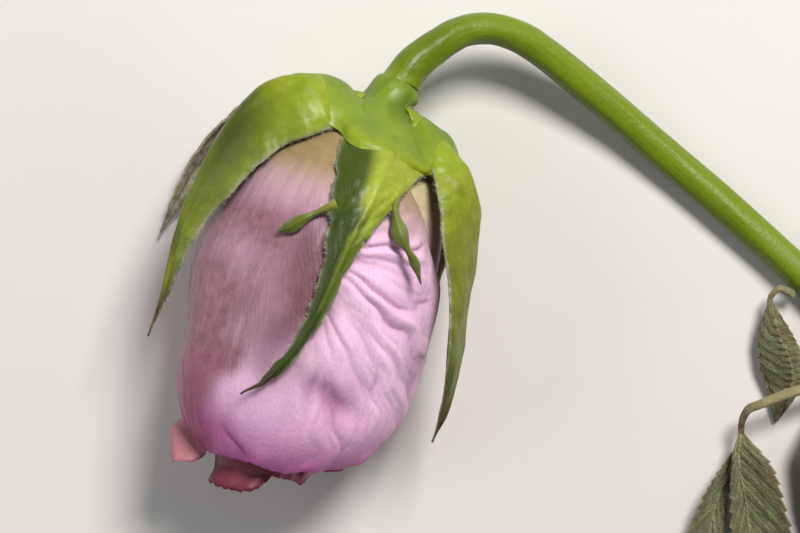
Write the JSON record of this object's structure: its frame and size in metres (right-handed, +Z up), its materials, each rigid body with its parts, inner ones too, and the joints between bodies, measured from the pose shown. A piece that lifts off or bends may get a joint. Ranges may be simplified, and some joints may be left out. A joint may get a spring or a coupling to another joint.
{
  "type": "wilted rose",
  "caption": "Wilted cut rose lying on its side, its neck bent over so that the closed bud hangs from an arched stem, with withered leaves on the stem.",
  "frame": {"origin": "middle of the bounding box, at the level of the surface that the rose lies on", "axes": "+Z up from the surface, +X along the longest extent, from the bud towards the cut end of the stem, and +Y from the bud's mouth towards the arch of the neck"},
  "size_m": [0.1384, 0.0944, 0.0357],
  "materials": {
    "petal": "soaked and satin, pale lilac pink with magenta rims",
    "sepal": "moist satin, yellow-green with darker patches",
    "stem": "moist satin, bright yellow-green",
    "receptacle": "moist satin, pale green",
    "leaf": "dull, dry grey-green",
    "stalk": "dull, dry straw brown"
  },
  "bodies": {
    "root": {"stem": "stem", "receptacle": "receptacle", "petal_front": "petal", "petal_back_left": "petal", "petal_back_right": "petal", "petal_left_inner": "petal", "petal_lower_lip": "petal", "petal_inner_1": "petal", "petal_inner_2": "petal", "petal_inner_3": "petal", "petal_inner_4": "petal", "petal_inner_5": "petal", "petal_inner_6": "petal", "petal_inner_7": "petal", "petal_inner_8": "petal", "sepal_front": "sepal", "sepal_left": "sepal", "sepal_right": "sepal", "sepal_back_left": "sepal", "sepal_back_right": "sepal", "leaflet_upper": "leaf", "leaflet_end": "leaf", "leaflet_side": "leaf", "leaflet_under": "leaf", "leaflet_last": "leaf", "stalk_upper": "stalk", "stalk_lower": "stalk"}
  },
  "joints": []
}
